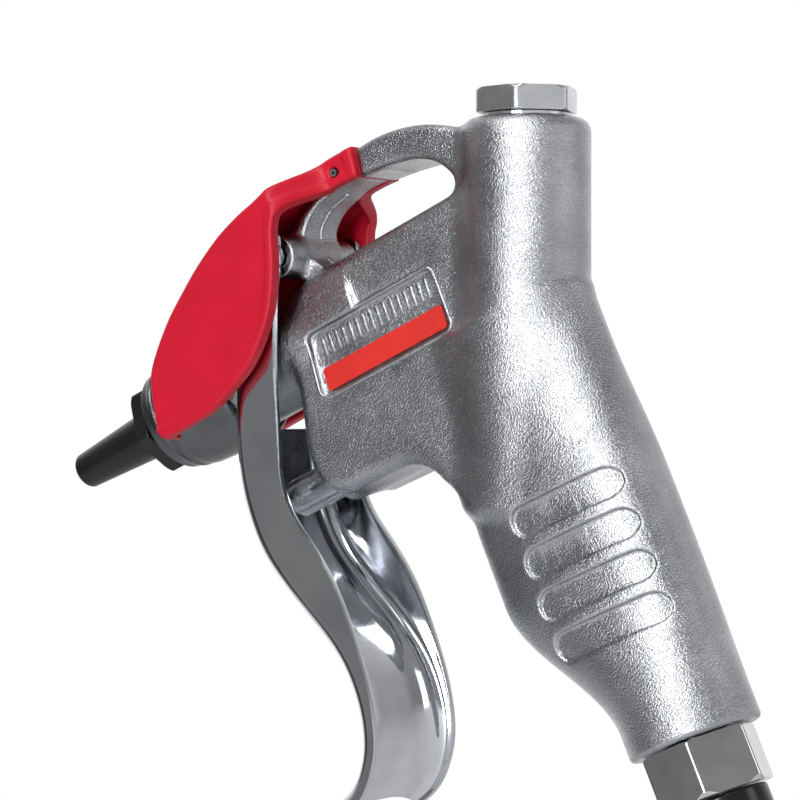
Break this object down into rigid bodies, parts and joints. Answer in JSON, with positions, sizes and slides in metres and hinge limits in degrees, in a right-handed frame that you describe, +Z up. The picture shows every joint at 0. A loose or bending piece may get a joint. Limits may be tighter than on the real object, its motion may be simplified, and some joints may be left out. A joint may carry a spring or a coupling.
{
  "type": "air blow gun",
  "caption": "Pistol-grip compressed-air blow gun: die-cast body with hanging loop, sprung channel lever, moulded hood over a short nozzle, hexagonal valve cap and air inlet.",
  "frame": {"origin": "centre of the lowest face of the air inlet, on the grip's axis", "axes": "+Z up the grip, -X the way the nozzle points, -Y the badge side"},
  "size_m": [0.1344, 0.0344, 0.1423],
  "materials": {
    "casting": "satin plated die casting with a fine pebbled grain",
    "bright_chrome": "polished chrome over pressed steel sheet",
    "machined_steel": "turned and milled, fine tool lines",
    "spring_steel": "plain spring steel",
    "dark_chrome": "smooth satin dark chrome",
    "plated_brass": "nickel plated brass",
    "brass": "turned brass",
    "red_plastic": "moulded red plastic with a fine matte grain",
    "label": "printed orange-red strip, left blank",
    "black_plastic": "semi-gloss black moulded plastic",
    "seals": "black nitrile rubber"
  },
  "bodies": {
    "gun": {"body_casting": "casting", "label_plate": "label", "valve_cap": "machined_steel", "cap_washer": "machined_steel", "valve_spring": "spring_steel", "valve_seat": "brass", "gland_nut": "plated_brass", "nozzle_sleeve": "dark_chrome", "sleeve_o_ring": "seals", "nozzle_gasket": "seals", "nozzle": "black_plastic", "lever_pin": "machined_steel", "pin_clip": "spring_steel", "cover": "red_plastic", "cover_roll_pin": "spring_steel", "inlet_bush": "plated_brass", "inlet_ring": "black_plastic", "inlet_strainer": "brass"},
    "trigger": {"lever": "bright_chrome"},
    "plunger": {"push_pin": "machined_steel", "pin_o_ring": "seals"},
    "poppet": {"valve_stem": "machined_steel", "seat_seal": "seals", "stem_o_ring": "seals"}
  },
  "joints": [
    {"name": "lever_swing", "type": "hinge", "parent": "gun", "child": "trigger", "pos_m": [-0.042, 0, 0.129], "axis": [0, -1, 0], "range_deg": [0, 6], "stiffness_Nm_per_rad": 2, "springref_deg": -8.59},
    {"name": "pin_slide", "type": "slide", "parent": "gun", "child": "plunger", "axis": [1, 0, 0], "range_m": [0, 0.0045]},
    {"name": "stem_lift", "type": "slide", "parent": "gun", "child": "poppet", "axis": [0.4067, 0, 0.9135], "range_m": [0, 0.0014], "deforming": ["valve_spring"]}
  ],
  "couplings": [
    {"joint": "pin_slide", "follows": "lever_swing", "m_per_rad": 0.0413},
    {"joint": "stem_lift", "follows": "lever_swing", "m_per_rad": 0.01283}
  ]
}
